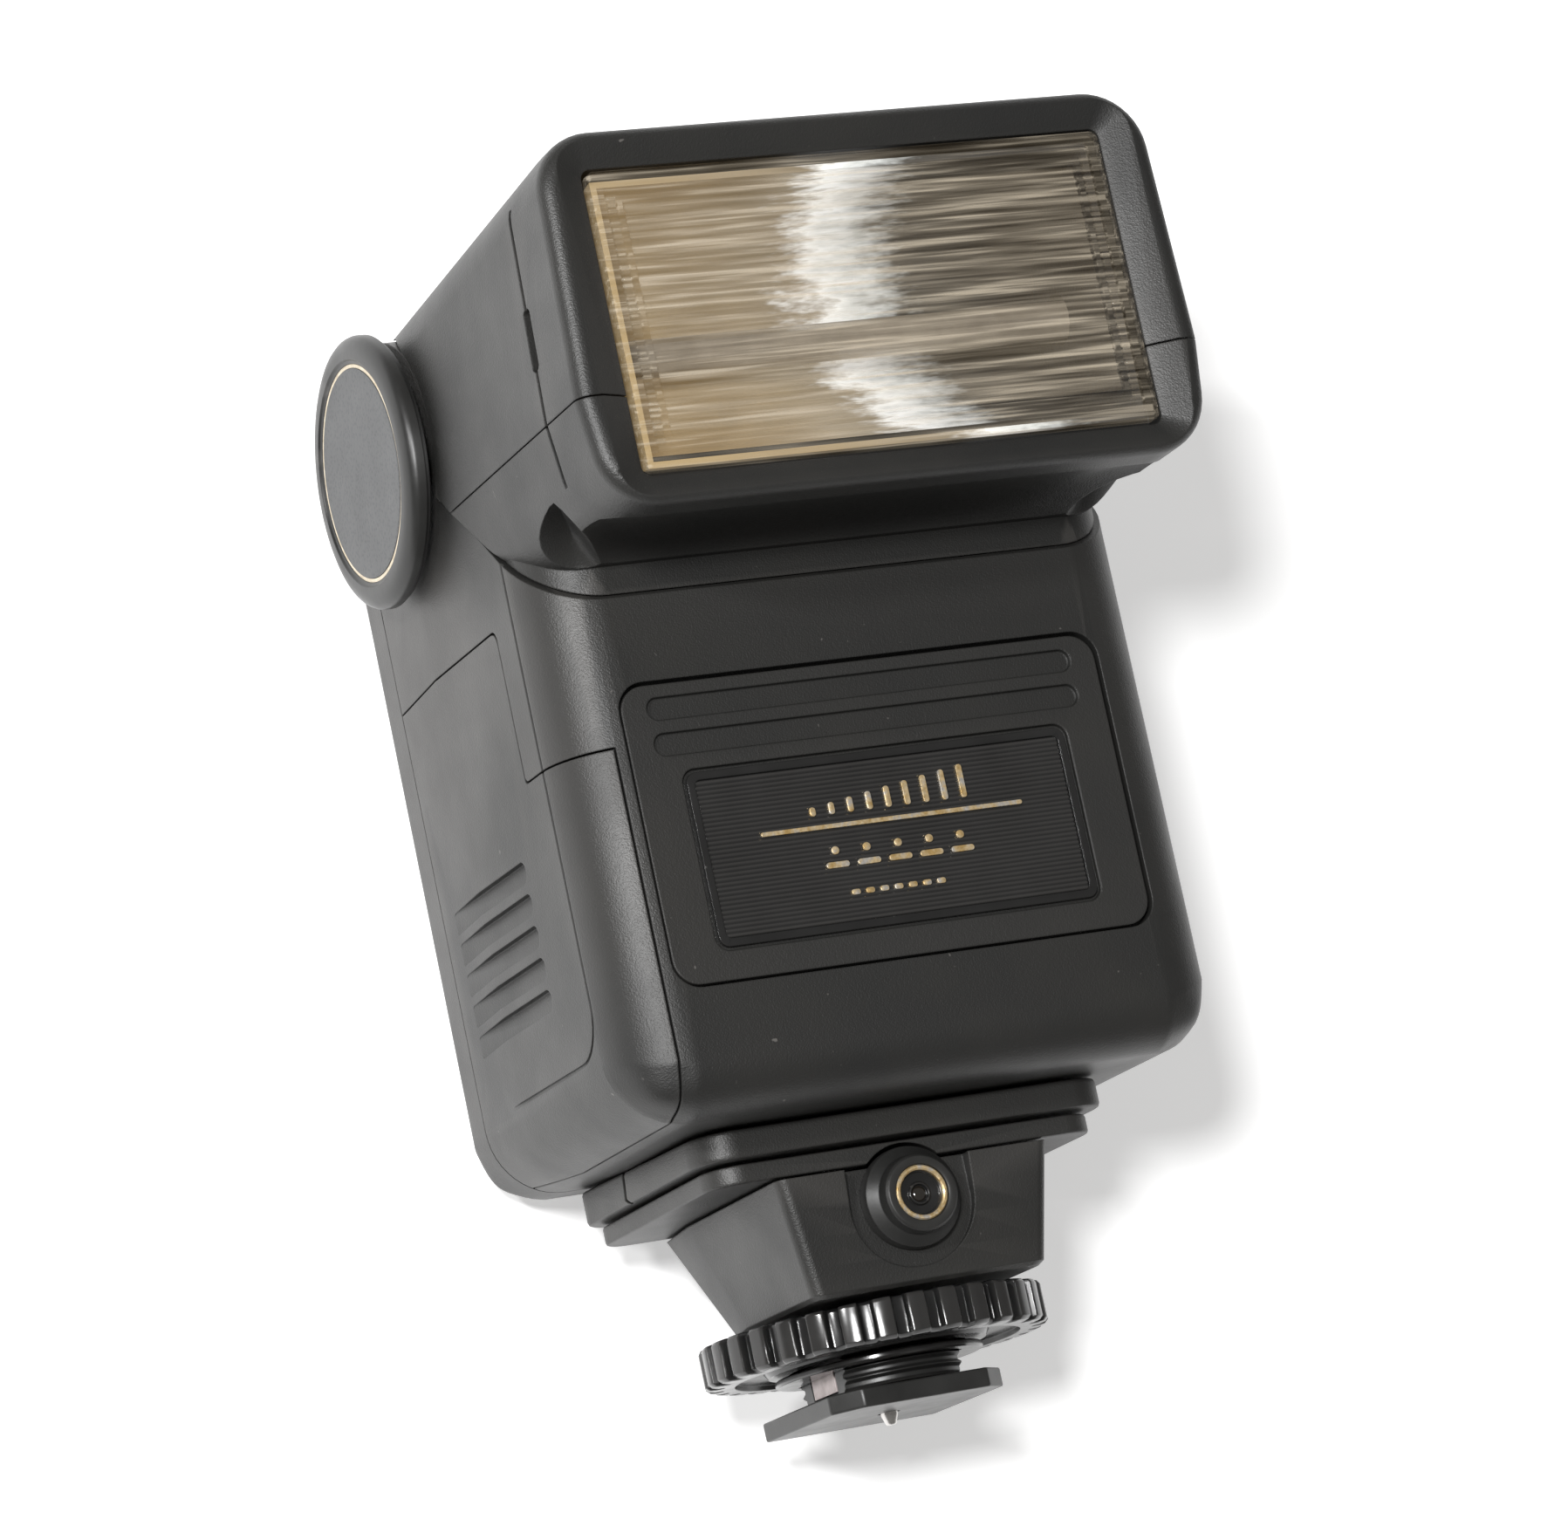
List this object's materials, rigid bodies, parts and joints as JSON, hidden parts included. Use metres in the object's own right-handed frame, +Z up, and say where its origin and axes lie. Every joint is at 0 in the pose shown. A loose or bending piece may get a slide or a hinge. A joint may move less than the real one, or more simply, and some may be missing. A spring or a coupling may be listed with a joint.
{
  "type": "speedlight flash",
  "caption": "Shoe-mounted flash with a tilting lamp head, sliding battery door, sensor eye and a knurled locking ring over the foot.",
  "frame": {"origin": "centre of the underside of the shoe foot", "axes": "+Z up through the body, front of the lamp faces -Y, +X is to the right seen from the front"},
  "size_m": [0.0702, 0.0756, 0.118],
  "materials": {
    "textured_casing": "fine-textured black ABS with a low sheen",
    "moulded_black": "smooth semi-matt black moulding",
    "gloss_black": "glossy black moulding",
    "grey_inlay": "dark grey anodised-look disc with a fine cream ring",
    "clear_lens": "clear ribbed acrylic",
    "bright_reflector": "bright-rolled mirror sheet",
    "gold_trim": "pale gold plating",
    "dark_lens": "dark filter window",
    "amber_lamp": "clear amber lamp cap",
    "bright_steel": "plated spring steel",
    "green_board": "lacquered circuit board",
    "capacitor_sleeve": "shrink sleeve over an aluminium can",
    "copper_winding": "enamelled copper wire",
    "holder_rubber": "moulded silicone rubber"
  },
  "bodies": {
    "flash_body": {"front_shell": "textured_casing", "rear_cover": "textured_casing", "rear_cover_screw_1": "bright_steel", "rear_cover_screw_2": "bright_steel", "rear_cover_screw_3": "bright_steel", "rear_cover_screw_4": "bright_steel", "front_panel": "textured_casing", "nameplate": "gloss_black", "battery_tray": "moulded_black", "battery_spring_upper": "bright_steel", "battery_spring_lower": "bright_steel", "battery_contact_plate": "bright_steel", "circuit_board": "green_board", "main_capacitor": "capacitor_sleeve", "transformer_core": "bright_steel", "transformer_winding": "copper_winding", "pivot_cap_left": "moulded_black", "pivot_inlay_left": "grey_inlay", "pivot_cap_right": "moulded_black", "pivot_inlay_right": "grey_inlay", "base_flange": "textured_casing", "module_plate": "textured_casing", "neck_block": "textured_casing", "sensor_bezel": "gloss_black", "sensor_ring": "gold_trim", "sensor_cell": "dark_lens", "foot_stem": "moulded_black", "foot_plate": "moulded_black", "ground_contact": "bright_steel", "foot_screw_1": "bright_steel", "foot_screw_2": "bright_steel", "pin_spring": "bright_steel", "calculator_plate": "grey_inlay", "dial_hub": "bright_steel", "ready_lamp": "amber_lamp"},
    "head": {"head_upper_shell": "textured_casing", "head_lower_shell": "textured_casing", "flash_window": "clear_lens", "flash_reflector": "bright_reflector", "flash_tube": "clear_lens", "tube_holder_left": "holder_rubber", "tube_holder_right": "holder_rubber", "trigger_coil": "copper_winding", "pivot_axle_left": "bright_steel", "pivot_axle_right": "bright_steel", "head_screw_left": "bright_steel", "head_screw_right": "bright_steel"},
    "battery_door": {"battery_door": "textured_casing", "door_contact_strip": "bright_steel"},
    "lock_washer": {"lock_washer": "gloss_black"},
    "locking_ring": {"locking_ring": "gloss_black"},
    "contact_pin": {"contact_pin": "bright_steel"},
    "calculator_dial": {"calculator_dial": "moulded_black"},
    "power_switch": {"power_switch": "gloss_black"},
    "mode_selector": {"mode_selector": "gloss_black"},
    "test_button": {"test_button": "gloss_black"}
  },
  "joints": [
    {"name": "head_tilt", "type": "hinge", "parent": "flash_body", "child": "head", "pos_m": [0, 0, 0.1], "axis": [-1, 0, 0], "range_deg": [0, 90]},
    {"name": "door_slide", "type": "slide", "parent": "flash_body", "child": "battery_door", "axis": [0, 0, -1], "range_m": [0, 0.05]},
    {"name": "ring_turn", "type": "hinge", "parent": "lock_washer", "child": "locking_ring", "pos_m": [0, 0, 0], "axis": [0, 0, 1], "range_deg": [0, 720]},
    {"name": "washer_slide", "type": "slide", "parent": "flash_body", "child": "lock_washer", "axis": [0, 0, -1], "range_m": [0, 0.002]},
    {"name": "pin_press", "type": "slide", "parent": "flash_body", "child": "contact_pin", "axis": [0, 0, 1], "range_m": [0, 0.001], "stiffness_N_per_m": 300, "deforming": ["pin_spring"]},
    {"name": "dial_turn", "type": "hinge", "parent": "flash_body", "child": "calculator_dial", "pos_m": [0, 0.022, 0.062], "axis": [0, 1, 0], "continuous": true},
    {"name": "power_slide", "type": "slide", "parent": "flash_body", "child": "power_switch", "axis": [1, 0, 0], "range_m": [0, 0.006]},
    {"name": "mode_slide", "type": "slide", "parent": "flash_body", "child": "mode_selector", "axis": [1, 0, 0], "range_m": [0, 0.009]},
    {"name": "test_press", "type": "slide", "parent": "flash_body", "child": "test_button", "axis": [0, -1, 0], "range_m": [0, 0.0008], "stiffness_N_per_m": 400}
  ],
  "couplings": [
    {"joint": "ring_turn", "follows": "washer_slide", "rad_per_m": 6283.2}
  ]
}
